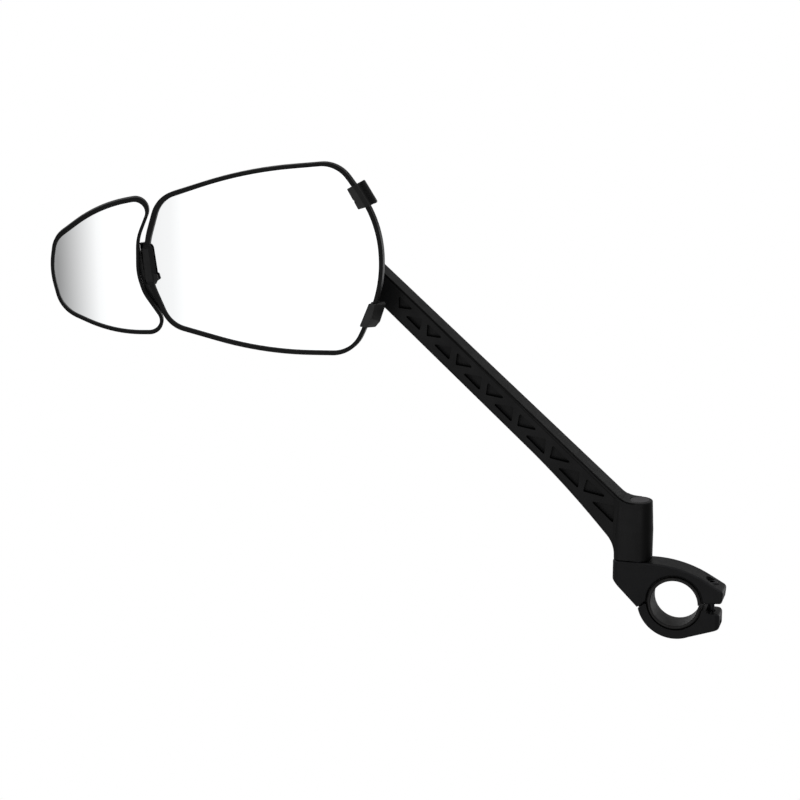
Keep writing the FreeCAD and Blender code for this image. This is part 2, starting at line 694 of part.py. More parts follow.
def carrier_screw():
    """Screw from the carrier's front into the ball stud."""
    x, y, z = BALL
    screw = rod_y(x, z, 1.5, STUD_FACE - 1.1, STUD_FACE + 6.5)
    head = rod_y(x, z, 2.7, STUD_FACE - 2.9, STUD_FACE - 1.6)
    neck = rod_y(x, z, 1.5, STUD_FACE - 2, STUD_FACE)
    screw = screw.fuse(head).fuse(neck).removeSplitter()
    return screw.cut(hex_bar(2.0, vec(x, STUD_FACE - 3.5, z), BACK, 1.2))


def carrier_washer():
    x, y, z = BALL
    washer = rod_y(x, z, 2.7, STUD_FACE - 1.6, STUD_FACE - 1.1)
    return washer.cut(rod_y(x, z, 1.5, STUD_FACE - 5, STUD_FACE))


# ======================= mirror heads =======================

def inset(face, distance):
    return face.makeOffset2D(-distance)


def rim(face, opening):
    """Frame with a thin front lip; its front face lies in the plane y = 0."""
    frame = slab(face, 0, RIM_DEPTH)
    frame = frame.makeFillet(0.35, edges_where(frame, in_plane_y(0)))
    frame = frame.cut(slab(opening, -1, RIM_DEPTH + 1))
    return frame.cut(slab(inset(face, RIM_WALL), LIP_THICKNESS, RIM_DEPTH + 1))


def glass(face):
    return slab(inset(face, RIM_WALL + FIT), LIP_THICKNESS, GLASS_BACK)


def foam(face):
    return slab(inset(face, 3.0), GLASS_BACK, FOAM_BACK)


def back_shell(face):
    """Tray behind the glass, with a raised edge around the foam and a rounded back."""
    outline = inset(face, RIM_WALL + FIT)
    shell = slab(outline, GLASS_BACK, SHELL_BACK)
    shell = shell.makeFillet(1.2, edges_where(shell, in_plane_y(SHELL_BACK)))
    return shell.cut(slab(inset(face, 2.9), GLASS_BACK - 1, FOAM_BACK))


def main_face():
    return front_face(MAIN_CORNERS)


def wing_face():
    return front_face(WING_CORNERS)


def to_head(shape):
    moved = shape.copy()
    moved.translate(vec(0, HEAD_FRONT, 0))
    return moved


def wing_placement():
    turn = FreeCAD.Rotation(UP, WING_YAW).multiply(FreeCAD.Rotation(vec(1, 0, 0), WING_PITCH))
    return FreeCAD.Placement(vec(*WING_DATUM), turn)


def to_wing(shape):
    moved = shape.copy()
    moved.Placement = wing_placement().multiply(moved.Placement)
    return moved


# ======================= carrier and rim clips =======================

def upper_rim_clip():
    """Clip with a sloping shoulder on its lip and a wider flange behind."""
    front = HEAD_FRONT - CLIP_LIP
    lip = slab(front_face(UPPER_CLIP), front, CLIP_LAP)
    long_edges = [edge for edge in edges_where(lip, in_plane_y(front)) if edge.Length > 8]
    outer = max(long_edges, key=lambda edge: edge.CenterOfMass.x)
    lip = lip.makeChamfer(CLIP_SLOPE_DEPTH, CLIP_SLOPE, [outer])
    flange_front = CLIP_LAP - CLIP_FLANGE
    flange = slab(front_face(UPPER_FLANGE), flange_front, CLIP_LAP)
    flange = filleted(flange, CLIP_FLANGE_EDGE, in_plane_y(flange_front))
    return rim_clip(UPPER_CLIP, lip.fuse(flange), CLIP_SCREWS[0])


def lower_rim_clip():
    """Clip whose body widens from the lip to the back."""
    front = HEAD_FRONT - CLIP_LIP
    start = front + CLIP_TAPER_START
    lip = slab(front_face(LOWER_CLIP), front, start)
    near = rounded_wire(LOWER_CLIP, lambda a, b: vec(a, start, b))
    far = rounded_wire(LOWER_FLANGE, lambda a, b: vec(a, CLIP_LAP, b))
    return rim_clip(LOWER_CLIP, lip.fuse(Part.makeLoft([near, far], True, True)), CLIP_SCREWS[1])


def rim_clip(outline, body, leg_end):
    """Finishes a clip: adds the leg that runs back to the carrier and makes room for the rim and the screw."""
    leg = capsule(outline_middle(outline), leg_end, LEG_HALF_WIDTH)
    clip = body.fuse(slab(leg, HEAD_FRONT + SHELL_BACK, CLIP_LAP)).removeSplitter()
    keep_out = slab(main_face().makeOffset2D(FIT), HEAD_FRONT - 0.05, HEAD_FRONT + SHELL_BACK)
    return clip.cut(keep_out).cut(rod_y(*leg_end, 0.95, -40, 0))


def outline_middle(outline):
    count = len(outline)
    return sum(point[0] for point in outline) / count, sum(point[1] for point in outline) / count


def capsule(a, b, half_width, half_width_b=None):
    """A bar with round ends from a to b, in the XZ plane; it may taper."""
    end_width = half_width if half_width_b is None else half_width_b
    ax, az = a
    bx, bz = b
    length = math.hypot(bx - ax, bz - az)
    nx = -(bz - az) / length
    nz = (bx - ax) / length
    bar = front_face([
        (ax + nx * half_width, az + nz * half_width, 0),
        (bx + nx * end_width, bz + nz * end_width, 0),
        (bx - nx * end_width, bz - nz * end_width, 0),
        (ax - nx * half_width, az - nz * half_width, 0),
    ])
    ends = [Part.Face(Part.Wire(Part.makeCircle(r, vec(x, 0, z), BACK)))
            for x, z, r in ((ax, az, half_width), (bx, bz, end_width))]
    return bar.fuse(ends).removeSplitter()


def mirror_carrier():
    """Three-armed bracket behind the main mirror."""
    hub_x, hub_z = BALL[0], BALL[2]
    front = CLIP_LAP
    back = HEAD_FRONT + CARRIER_BACK
    plate = slab(capsule((hub_x, hub_z), CARRIER_LEFT_END, HUB_RADIUS, 6.8), front, back)
    for end in CLIP_SCREWS[:2]:
        plate = plate.fuse(slab(capsule((hub_x, hub_z), end, 6.5, LEG_HALF_WIDTH), front, back))
    spine = slab(capsule((hub_x - 10, hub_z), (-232.0, 150.9), SPINE_HALF_WIDTH), back, back + SPINE_HEIGHT)
    hub = rod_y(hub_x, hub_z, HUB_RADIUS, HEAD_FRONT + SHELL_BACK, STUD_FACE)
    pad = slab(capsule((-170, hub_z), (-226, 151.0), PAD_HALF_WIDTH), HEAD_FRONT + SHELL_BACK, front)
    plate = plate.fuse(spine).fuse(hub).fuse(pad).removeSplitter()
    plate = plate.cut(rod_y(hub_x, hub_z, 1.5 + RUNNING_GAP, -30, 0))
    plate = plate.cut(rod_y(hub_x, hub_z, 2.9, HEAD_FRONT + SHELL_BACK - 1, STUD_FACE - 1.1))
    for x, z in CLIP_SCREWS:
        plate = plate.cut(rod_y(x, z, 1.0, -40, 0))
    return plate


def small_screw(x, z, seat_y):
    """Pan head screw driven forwards from behind; its head sits on the plane y = seat_y."""
    screw = rod_y(x, z, 0.95, seat_y - 2.4, seat_y)
    head = rod_y(x, z, 1.9, seat_y, seat_y + 1.1)
    head = head.makeFillet(0.45, edges_where(head, lambda b: b.YMin > seat_y + 1.0))
    screw = screw.fuse(head).removeSplitter()
    return screw.cut(hex_bar(1.5, vec(x, seat_y + 0.4, z), BACK, 2))


def clip_screws():
    return Part.makeCompound([small_screw(x, z, HEAD_FRONT + CARRIER_BACK) for x, z in CLIP_SCREWS])


# ======================= wing hinge =======================

def hinge_placement():
    """Local frame of the wing hinge: its Z axis is the pin."""
    return FreeCAD.Placement(vec(*HINGE_AXIS_POINT), FreeCAD.Rotation(BACK, -HINGE_LEAN))


def on_hinge(shape):
    moved = shape.copy()
    moved.Placement = hinge_placement().multiply(moved.Placement)
    return moved


def barrel(z_from, z_to):
    return rod_z(0, 0, KNUCKLE_RADIUS, z_from, z_to)


def hinge_bridge():
    """Long clip on the main rim's left side that carries the two outer knuckles."""
    half = BRIDGE_HALF
    front = HEAD_FRONT - 1.5 - HINGE_AXIS_POINT[1]
    leg_front = HEAD_FRONT + SHELL_BACK - HINGE_AXIS_POINT[1]
    leg_back = CLIP_LAP - HINGE_AXIS_POINT[1]
    block = slab(front_face(BRIDGE_OUTLINE), front, leg_back).common(bridge_facets(front, leg_back))
    block = block.fuse(slab(front_face(BRIDGE_HOOK), front + 0.5, leg_back))
    leg = box((1.3, 16.2), (leg_front, leg_back), (-6.4, 6.4))
    leg = filleted(leg, 2.5, lambda b: b.XMin > 16.1 and b.YMax - b.YMin > 1)
    block = block.fuse(leg)
    for z_from, z_to in ((-half, -KNUCKLE_HALF - WASHER), (KNUCKLE_HALF + WASHER, half)):
        web = box((0, 1.4), (-KNUCKLE_RADIUS, leg_back), (z_from, z_to))
        block = block.fuse(barrel(z_from, z_to)).fuse(web)
    clear = KNUCKLE_HALF + WASHER
    block = block.removeSplitter().cut(rod_z(0, 0, KNUCKLE_RADIUS + 0.35, -clear, clear))
    block = on_hinge(block)
    keep_out = slab(main_face().makeOffset2D(FIT), HEAD_FRONT - 0.05, HEAD_FRONT + SHELL_BACK)
    block = block.cut(keep_out)
    block = block.cut(on_hinge(rod_z(0, 0, PIN_RADIUS, -20, 20)))
    for x, z in CLIP_SCREWS[2:]:
        block = block.cut(rod_y(x, z, 0.95, -40, 0))
    return block


def bridge_facets(front, back):
    """Faceted envelope of the bridge: a ridge along its front, and sloping ends."""
    across = plan_face([
        (0, back, 0), (0, front + 1.0, 0), (1.7, front, 0), (BRIDGE_RIDGE, front, 0),
        (BRIDGE_RIDGE + 3.0, front + BRIDGE_SLOPE * 1.5, 0), (BRIDGE_RIDGE + 3.0, back, 0),
    ])
    end = BRIDGE_HALF
    along = [
        (back, end), (front + BRIDGE_END_BEVEL[0], end), (front, end - BRIDGE_END_BEVEL[1]),
        (front, BRIDGE_END_BEVEL[1] - end), (front + BRIDGE_END_BEVEL[0], -end), (back, -end),
    ]
    ring = [vec(0, y, z) for y, z in along]
    lengthwise = Part.Face(Part.makePolygon(ring + ring[:1])).extrude(vec(10, 0, 0))
    return post(across, -end, end).common(lengthwise)


def wing_hinge_pin():
    return on_hinge(rod_z(0, 0, PIN_RADIUS, -BRIDGE_HALF - 0.2, BRIDGE_HALF + 0.2))


def hinge_washers():
    rings = []
    for z in (-KNUCKLE_HALF - WASHER, KNUCKLE_HALF):
        ring = rod_z(0, 0, KNUCKLE_RADIUS - 0.1, z, z + WASHER).cut(rod_z(0, 0, PIN_RADIUS, -20, 20))
        rings.append(on_hinge(ring))
    return Part.makeCompound(rings)


def wing_bracket():
    """Middle knuckle and the plate that carries the wing."""
    knuckle = on_hinge(barrel(-KNUCKLE_HALF, KNUCKLE_HALF))
    plate = front_face([
        (1.4, 4.2, 0), (1.4, -4.0, 0), (0.68, -5.3, 0), (1.24, -10.5, 0), (4.4, -11.4, 1.0),
        (9.8, -25.0, 0.8), (7.6, -25.6, 0.8), (-5.0, -11.5, 2.0), (-16, -8.0, 4.0), (-16, 8.0, 4.0),
        (-6.0, 10.9, 2.0), (-1.4, 10.6, 0), (-0.82, 5.2, 0),
    ])
    plate = to_wing(slab(plate, SHELL_BACK, SHELL_BACK + 1.6))
    bracket = knuckle.fuse(plate).removeSplitter()
    bracket = bracket.cut(on_hinge(rod_z(0, 0, PIN_RADIUS + RUNNING_GAP, -20, 20)))
    for z in (-KNUCKLE_HALF - WASHER, KNUCKLE_HALF):
        bracket = bracket.cut(on_hinge(rod_z(0, 0, KNUCKLE_RADIUS, z, z + WASHER)))
    for x, z in WING_SCREWS:
        bracket = bracket.cut(to_wing(rod_y(x, z, 1.0, 0, 20)))
    return bracket


def wing_screws():
    return to_wing(Part.makeCompound([small_screw(x, z, SHELL_BACK + 1.6) for x, z in WING_SCREWS]))


def wing_shell():
    shell = back_shell(wing_face())
    for x, z in WING_SCREWS:
        shell = shell.cut(rod_y(x, z, 0.95, SHELL_BACK - 1.0, SHELL_BACK + 1))
    return to_wing(shell)


PIECES = {
    "clamp_upper_jaw": upper_jaw,
    "clamp_lower_jaw": lower_jaw,
    "clamp_hinge_pin": clamp_hinge_pin,
    "clamp_screw": clamp_screw,
    "clamp_screw_washer": clamp_screw_washer,
    "clamp_nut": clamp_nut,
    "reducer_sleeve": reducer_sleeve,
    "pivot_insert": pivot_insert,
    "pivot_friction_ring": friction_ring,
    "pivot_flat_washer": pivot_flat_washer,
    "pivot_spring_washer": pivot_spring_washer,
    "pivot_screw": pivot_screw,
    "boss_cap": boss_cap,
    "arm": arm,
    "ball_retaining_ring": ball_retaining_ring,
    "ball_seat": ball_seat,
    "ball_pressure_pad": ball_pressure_pad,
    "ball_tension_screw": ball_tension_screw,
    "ball_stud": ball_stud,
    "carrier_screw": carrier_screw,
    "carrier_washer": carrier_washer,
    "mirror_carrier": mirror_carrier,
    "upper_rim_clip": upper_rim_clip,
    "lower_rim_clip": lower_rim_clip,
    "clip_screws": clip_screws,
    "main_frame": lambda: to_head(rim(main_face(), front_face(MAIN_OPENING))),
    "main_glass": lambda: to_head(glass(main_face())),
    "main_foam_pad": lambda: to_head(foam(main_face())),
    "main_back_shell": lambda: to_head(back_shell(main_face())),
    "hinge_bridge": hinge_bridge,
    "wing_hinge_pin": wing_hinge_pin,
    "hinge_friction_washers": hinge_washers,
    "wing_bracket": wing_bracket,
    "wing_bracket_screws": wing_screws,
    "wing_frame": lambda: to_wing(rim(wing_face(), front_face(WING_OPENING))),
    "wing_glass": lambda: to_wing(glass(wing_face())),
    "wing_foam_pad": lambda: to_wing(foam(wing_face())),
    "wing_back_shell": wing_shell,
}

os.makedirs("parts", exist_ok=True)
for name, make in PIECES.items():
    make().exportStep("parts/" + name + ".step")
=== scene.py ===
import bpy
import json
import math
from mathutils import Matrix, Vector


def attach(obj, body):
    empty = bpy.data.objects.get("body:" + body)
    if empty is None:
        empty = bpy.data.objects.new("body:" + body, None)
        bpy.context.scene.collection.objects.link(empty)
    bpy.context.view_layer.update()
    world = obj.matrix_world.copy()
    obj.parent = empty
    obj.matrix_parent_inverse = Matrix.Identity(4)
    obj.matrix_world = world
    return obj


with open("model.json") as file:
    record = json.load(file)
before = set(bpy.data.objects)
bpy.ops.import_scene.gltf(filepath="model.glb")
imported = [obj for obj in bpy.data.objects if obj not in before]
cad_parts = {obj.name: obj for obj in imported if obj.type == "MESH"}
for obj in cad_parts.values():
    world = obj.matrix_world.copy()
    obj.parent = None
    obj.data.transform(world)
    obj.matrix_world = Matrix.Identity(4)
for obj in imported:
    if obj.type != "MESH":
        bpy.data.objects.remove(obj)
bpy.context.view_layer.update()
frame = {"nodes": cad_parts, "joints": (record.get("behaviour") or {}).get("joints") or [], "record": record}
nodes = frame["nodes"]
joint_places = {joint["name"]: joint["pos_m"] for joint in frame["joints"]}

# Lengths are in metres and angles in degrees. The origin is the centre of the handlebar bore, +Y runs along
# the handlebar away from the camera's side, and +Z is up.

# ---- camera ----
CAMERA_AZIMUTH = 15.986
CAMERA_ELEVATION = 15.042
CAMERA_DISTANCE = 1.1
CAMERA_TARGET = Vector((-0.13485, 0.0, 0.08695))
LENS_MM = 104.13
SENSOR_MM = 36.0

# ---- studio ----
FLOOR_Z = -0.55
ROOM_HALF = 12.0
WORLD_STRENGTH = 0.3
FRONT_CARD = {"x": (-1.3, 0.9), "y": -1.35, "z": (-0.52, 0.15), "strength": 1.15}
REAR_CARD = {"x": (-1.0, 1.3), "y": 1.5, "z": (-0.45, 0.12), "strength": 1.0}
# Brightness of the front card at each x, which gives the two mirrors their soft grey edges.
FRONT_CARD_LEVELS = [
    (-0.86, 0.70), (-0.767, 0.85), (-0.755, 0.92), (-0.745, 0.975), (-0.72, 1.0), (-0.60, 1.0),
    (-0.40, 0.9), (-0.22, 0.27), (-0.079, 0.278), (-0.034, 0.925), (0.03, 1.0),
]
LIGHT_LOCATION = Vector((-0.85, 0.28, 1.2))
LIGHT_TARGET = Vector((-0.1, 0.0, 0.1))
LIGHT_SIZE = (1.2, 0.9)
LIGHT_WATTS = 9.5

# ---- painted shade and sheen on the arm: zones by place and by the direction that the surface faces ----
POST_AXIS_X = joint_places["arm_swivel"][0]
ARM_ORIGIN = Vector((POST_AXIS_X, 0.0, 0.034))
ARM_ANGLE = 41.7
# Painted shade goes on the pocket walls and the fine line below the top edge, within these spans along and
# across the arm.
POCKET_SHADE_ZONE = {"along": (0.009, 0.168), "across": (-0.0068, 0.0034)}
EDGE_LINE_SHADE_ZONE = {"along": (0.0175, 0.172), "across": (0.00364, 0.00418)}
POCKET_WALL_NORMAL_Y = (-0.6, 0.6)
# Colour factor of the painted shade in those recesses.
RECESS_PAINTED_SHADE = 0.06
# Painted sheen and shade on the post: colour factor at each distance to the right of its axis.
POST_PAINTED_SHEEN_AND_SHADE = [
    (-0.0113, 0.64), (-0.008, 1.0), (-0.005, 0.96), (-0.001, 0.76), (0.002, 0.4), (0.005, 0.0), (0.0073, 0.2),
]
UPRIGHT_NORMAL_Z = (-0.25, 0.25)
# Painted shade on the arm's long top face, found by its normal, and its colour factor.
TOP_FACE_NORMAL_X = (0.4, 0.9)
TOP_FACE_NORMAL_Z = (0.5, 0.9)
TOP_FACE_PAINTED_SHADE = 0.44

# ---- edges: bevel softness, and a painted highlight on the clamp's rounded upper edges ----
EDGE_SOFTNESS = 0.00022
# Painted highlight: normals of the clamp's rounded upper edges, and the factor that lightens their colour.
HIGHLIGHT_NORMAL_Y = (0.3, 0.93)
HIGHLIGHT_NORMAL_Z = (0.3, 0.95)
EDGE_HIGHLIGHT_GAIN = 3.0

# ---- thread of the clamp screw ----
SCREW_AXIS_X = joint_places["screw_tilt"][0]
THREAD_Z = (-0.0078, 0.0062)
THREAD_PITCH = 0.0006
THREAD_RADII = (0.00148, 0.0016)
THREAD_HALF_WIDTH = 0.42 * THREAD_PITCH
THREAD_STEPS = 20

# ---- finishes: noise scales are per metre ----
NOISE_RANGE = (0.3, 0.7)
TONE_RANGE = (0.35, 0.65)
PLASTIC_MOTTLE = 90.0
PLASTIC_GLOSS = 240.0
PLASTIC_GLOSS_CHANGE = (-0.05, 0.06)
PLASTIC_GRAIN = 2600.0
PLASTIC_GRAIN_DEPTH = 0.00002
PLASTIC_GRAIN_STRENGTH = 0.6
PLASTIC_WAVES = 140.0
PLASTIC_WAVE_DEPTH = 0.00004
PLASTIC_WAVE_STRENGTH = 0.25
METAL_MOTTLE = 300.0
METAL_GLOSS = 900.0
METAL_GLOSS_CHANGE = (-0.07, 0.09)
METAL_MARKS = 2400.0
METAL_MARK_DEPTH = 0.00001
METAL_MARK_STRENGTH = 0.4
GLASS_TINT = 12.0
GLASS_TINT_COLOURS = ((0.93, 0.945, 0.95), (0.95, 0.955, 0.96))
GLASS_HAZE = 160.0
GLASS_HAZE_RANGE = (0.45, 0.75)
GLASS_ROUGHNESS = (0.008, 0.03)

# Dark and light colour, roughness and specular level, and the grain and its depth where they are unusual.
PLASTICS = {
    "clamp_plastic": ((0.008, 0.008, 0.009), (0.012, 0.012, 0.013), 0.42, 0.18),
    "arm_plastic": ((0.0124, 0.0124, 0.0129), (0.0178, 0.0178, 0.0184), 0.42, 0.16),
    "cap_plastic": ((0.052, 0.049, 0.053), (0.062, 0.059, 0.063), 0.45, 0.3),
    "clip_plastic": ((0.018, 0.018, 0.018), (0.024, 0.024, 0.024), 0.36, 0.32),
    "hinge_plastic": ((0.009, 0.009, 0.0095), (0.013, 0.013, 0.0135), 0.38, 0.22),
    "rim_plastic": ((0.006, 0.006, 0.006), (0.009, 0.009, 0.009), 0.34, 0.14, 3200.0, 0.00001),
    "shell_plastic": ((0.012, 0.012, 0.012), (0.018, 0.018, 0.019), 0.5, 0.25, 1500.0, 0.00005),
    "nylon": ((0.60, 0.59, 0.55), (0.70, 0.69, 0.66), 0.45, 0.5),
    "sleeve_rubber": ((0.024, 0.023, 0.023), (0.032, 0.031, 0.031), 0.55, 0.3, 1800.0, 0.00004),
    "foam": ((0.03, 0.03, 0.03), (0.06, 0.06, 0.06), 0.85, 0.2, 1200.0, 0.0002),
}
# Dark and light colour and roughness.
METALS = {
    "steel": ((0.48, 0.48, 0.50), (0.62, 0.62, 0.63), 0.30),
    "black_steel": ((0.030, 0.030, 0.034), (0.055, 0.055, 0.060), 0.36),
    "brass": ((0.62, 0.45, 0.18), (0.74, 0.56, 0.26), 0.28),
    "stud_alloy": ((0.52, 0.53, 0.55), (0.62, 0.63, 0.65), 0.26),
}


# ======================= node helpers =======================

def new_material(name):
    """A material, its node tree and its shader."""
    material = bpy.data.materials.new(name)
    material.use_nodes = True
    tree = material.node_tree
    return material, tree, tree.nodes["Principled BSDF"]


def components(tree, coordinate):
    """X, Y and Z of a piece's own coordinate: its place ("Object") or where it faces ("Normal")."""
    coordinates = tree.nodes.new("ShaderNodeTexCoord")
    split = tree.nodes.new("ShaderNodeSeparateXYZ")
    tree.links.new(coordinates.outputs[coordinate], split.inputs["Vector"])
    return split.outputs


def object_noise(tree, scale, detail, roughness=0.5):
    """Noise in the piece's own coordinates, so that it moves with the piece."""
    place = tree.nodes.new("ShaderNodeTexCoord")
    noise = tree.nodes.new("ShaderNodeTexNoise")
    noise.inputs["Scale"].default_value = scale
    noise.inputs["Detail"].default_value = detail
    noise.inputs["Roughness"].default_value = roughness
    tree.links.new(place.outputs["Object"], noise.inputs["Vector"])
    return noise.outputs["Fac"]


def spread(tree, value, source, target):
    """Maps a value from one range onto another."""
    node = tree.nodes.new("ShaderNodeMapRange")
    node.inputs["From Min"].default_value, node.inputs["From Max"].default_value = source
    node.inputs["To Min"].default_value, node.inputs["To Max"].default_value = target
    tree.links.new(value, node.inputs["Value"])
    return node.outputs["Result"]


def two_tone(tree, value, dark, light):
    """Colour that goes from dark to light over the middle of a value's range."""
    ramp = tree.nodes.new("ShaderNodeValToRGB")
    for stop, position, colour in zip(ramp.color_ramp.elements, TONE_RANGE, (dark, light)):
        stop.position = position
        stop.color = (*colour, 1.0)
    tree.links.new(value, ramp.inputs["Fac"])
    return ramp.outputs["Color"]


def graded(tree, value, levels, span):
    """Grey of a value within a span, from a list of (value, grey)."""
    left, right = span
    ramp = tree.nodes.new("ShaderNodeValToRGB")
    tree.links.new(spread(tree, value, span, (0.0, 1.0)), ramp.inputs["Fac"])
    stops = ramp.color_ramp.elements
    while len(stops) < len(levels):
        stops.new(0.5)
    for stop, (place, grey) in zip(stops, levels):
        stop.position = (place - left) / (right - left)
        stop.color = (grey, grey, grey, 1.0)
    return ramp.outputs["Color"]


def bump(tree, height, distance, strength, below):
    """Bumps on top of the normal below them."""
    node = tree.nodes.new("ShaderNodeBump")
    node.inputs["Strength"].default_value = strength
    node.inputs["Distance"].default_value = distance
    tree.links.new(height, node.inputs["Height"])
    tree.links.new(below, node.inputs["Normal"])
    return node.outputs["Normal"]


def soft_edges(tree):
    """Normal that rounds off sharp edges a little, as moulded and machined parts are."""
    node = tree.nodes.new("ShaderNodeBevel")
    node.samples = 4
    node.inputs["Radius"].default_value = EDGE_SOFTNESS
    return node.outputs["Normal"]


def with_number(tree, operation, value, number=0.0):
    """A math operation on a value and a number."""
    node = tree.nodes.new("ShaderNodeMath")
    node.operation = operation
    node.inputs[1].default_value = number
    tree.links.new(value, node.inputs[0])
    return node.outputs["Value"]


def combine(tree, operation, first, second):
    """A math operation on two values."""
    node = tree.nodes.new("ShaderNodeMath")
    node.operation = operation
    tree.links.new(first, node.inputs[0])
    tree.links.new(second, node.inputs[1])
    return node.outputs["Value"]


def within(tree, value, low, high):
    """1 where a value is between two limits, 0 elsewhere."""
    above = with_number(tree, "GREATER_THAN", value, low)
    below = with_number(tree, "LESS_THAN", value, high)
    return combine(tree, "MULTIPLY", above, below)


def distance_along(tree, place, origin, direction):
    """Distance of each point from origin, measured along direction."""
    offset = tree.nodes.new("ShaderNodeVectorMath")
    offset.operation = "SUBTRACT"
    offset.inputs[1].default_value = origin
    tree.links.new(place, offset.inputs[0])
    dot = tree.nodes.new("ShaderNodeVectorMath")
    dot.operation = "DOT_PRODUCT"
    dot.inputs[1].default_value = direction
    tree.links.new(offset.outputs["Vector"], dot.inputs[0])
    return dot.outputs["Value"]


def scale_colour(material, factor):
    """Multiplies a material's colour by a computed factor."""
    tree = material.node_tree
    colour = tree.nodes["Principled BSDF"].inputs["Base Color"]
    shade = tree.nodes.new("ShaderNodeVectorMath")
    shade.operation = "MULTIPLY"
    tree.links.new(colour.links[0].from_socket, shade.inputs[0])
    tree.links.new(factor, shade.inputs[1])
    tree.links.new(shade.outputs["Vector"], colour)


# ======================= materials =======================

def uneven_gloss(tree, shader, roughness, scale, change):
    """Roughness that varies by a change around its own value."""
    limits = [roughness + step for step in change]
    gloss = spread(tree, object_noise(tree, scale, 4.0), NOISE_RANGE, limits)
    tree.links.new(gloss, shader.inputs["Roughness"])


def moulded_plastic(name, dark, light, roughness, specular, grain=PLASTIC_GRAIN, depth=PLASTIC_GRAIN_DEPTH):
    """Moulded plastic: faint mottling, fine spark-eroded grain and slightly uneven gloss."""
    material, tree, shader = new_material(name)
    mottle = object_noise(tree, PLASTIC_MOTTLE, 3.0)
    tree.links.new(two_tone(tree, mottle, dark, light), shader.inputs["Base Color"])
    uneven_gloss(tree, shader, roughness, PLASTIC_GLOSS, PLASTIC_GLOSS_CHANGE)
    shader.inputs["Specular IOR Level"].default_value = specular
    fine = object_noise(tree, grain, 2.0, 0.6)
    fine = bump(tree, fine, depth, PLASTIC_GRAIN_STRENGTH, soft_edges(tree))
    waves = object_noise(tree, PLASTIC_WAVES, 1.0)
    waves = bump(tree, waves, PLASTIC_WAVE_DEPTH, PLASTIC_WAVE_STRENGTH, fine)
    tree.links.new(waves, shader.inputs["Normal"])
    return material


def metal(name, dark, light, roughness):
    """Plated or blackened metal with fine turning marks."""
    material, tree, shader = new_material(name)
    shader.inputs["Metallic"].default_value = 1.0
    mottle = object_noise(tree, METAL_MOTTLE, 3.0)
    tree.links.new(two_tone(tree, mottle, dark, light), shader.inputs["Base Color"])
    uneven_gloss(tree, shader, roughness, METAL_GLOSS, METAL_GLOSS_CHANGE)
    marks = object_noise(tree, METAL_MARKS, 3.0)
    marks = bump(tree, marks, METAL_MARK_DEPTH, METAL_MARK_STRENGTH, soft_edges(tree))
    tree.links.new(marks, shader.inputs["Normal"])
    return material


def mirror_silver():
    """Silvered flat glass with the faintest change of tint and a dust haze."""
    material, tree, shader = new_material("mirror_silver")
    shader.inputs["Metallic"].default_value = 1.0
    tint = two_tone(tree, object_noise(tree, GLASS_TINT, 1.0), *GLASS_TINT_COLOURS)
    tree.links.new(tint, shader.inputs["Base Color"])
    haze = spread(tree, object_noise(tree, GLASS_HAZE, 5.0), GLASS_HAZE_RANGE, GLASS_ROUGHNESS)
    tree.links.new(haze, shader.inputs["Roughness"])
    return material


def arm_recess_shade_mask(tree):
    """Mask for painted shade: 1 on the walls of the arm's pockets and in the fine line below its top edge, 0
    elsewhere.
    """
    place = tree.nodes.new("ShaderNodeTexCoord").outputs["Object"]
    turn = math.radians(ARM_ANGLE)
    along = distance_along(tree, place, ARM_ORIGIN, (-math.cos(turn), 0.0, math.sin(turn)))
    across = distance_along(tree, place, ARM_ORIGIN, (math.sin(turn), 0.0, math.cos(turn)))
    in_pockets, in_line = [
        combine(tree, "MULTIPLY", within(tree, along, *zone["along"]), within(tree, across, *zone["across"]))
        for zone in (POCKET_SHADE_ZONE, EDGE_LINE_SHADE_ZONE)
    ]
    wall = within(tree, components(tree, "Normal")["Y"], *POCKET_WALL_NORMAL_Y)
    return combine(tree, "MAXIMUM", combine(tree, "MULTIPLY", in_pockets, wall), in_line)


def painted_post_sheen_and_shade(tree):
    """Painted sheen and shade on the arm's post: full left of its middle and dark on the right; 1 elsewhere.
    """
    x = with_number(tree, "SUBTRACT", components(tree, "Object")["X"], POST_AXIS_X)
    span = (POST_PAINTED_SHEEN_AND_SHADE[0][0], POST_PAINTED_SHEEN_AND_SHADE[-1][0])
    upright = within(tree, components(tree, "Normal")["Z"], *UPRIGHT_NORMAL_Z)
    on_post = combine(tree, "MULTIPLY", upright, within(tree, x, *span))
    change = with_number(tree, "SUBTRACT", graded(tree, x, POST_PAINTED_SHEEN_AND_SHADE, span), 1.0)
    return with_number(tree, "ADD", combine(tree, "MULTIPLY", change, on_post), 1.0)


def painted_top_face_shade(tree):
    """Painted shade: duller colour on the arm's long top face; 1 elsewhere."""
    normal = components(tree, "Normal")
    on_top = combine(
        tree, "MULTIPLY",
        within(tree, normal["X"], *TOP_FACE_NORMAL_X),
        within(tree, normal["Z"], *TOP_FACE_NORMAL_Z),
    )
    return spread(tree, on_top, (0.0, 1.0), (1.0, TOP_FACE_PAINTED_SHADE))


def paint_arm_shade_and_sheen(material):
    """Painted shade and sheen: near black recesses, a post with a painted sheen and a dark right side, and a
    duller top face.
    """
    tree = material.node_tree
    factor = spread(tree, arm_recess_shade_mask(tree), (0.0, 1.0), (1.0, RECESS_PAINTED_SHADE))
    factor = combine(tree, "MULTIPLY", factor, painted_post_sheen_and_shade(tree))
    factor = combine(tree, "MULTIPLY", factor, painted_top_face_shade(tree))
    scale_colour(material, factor)


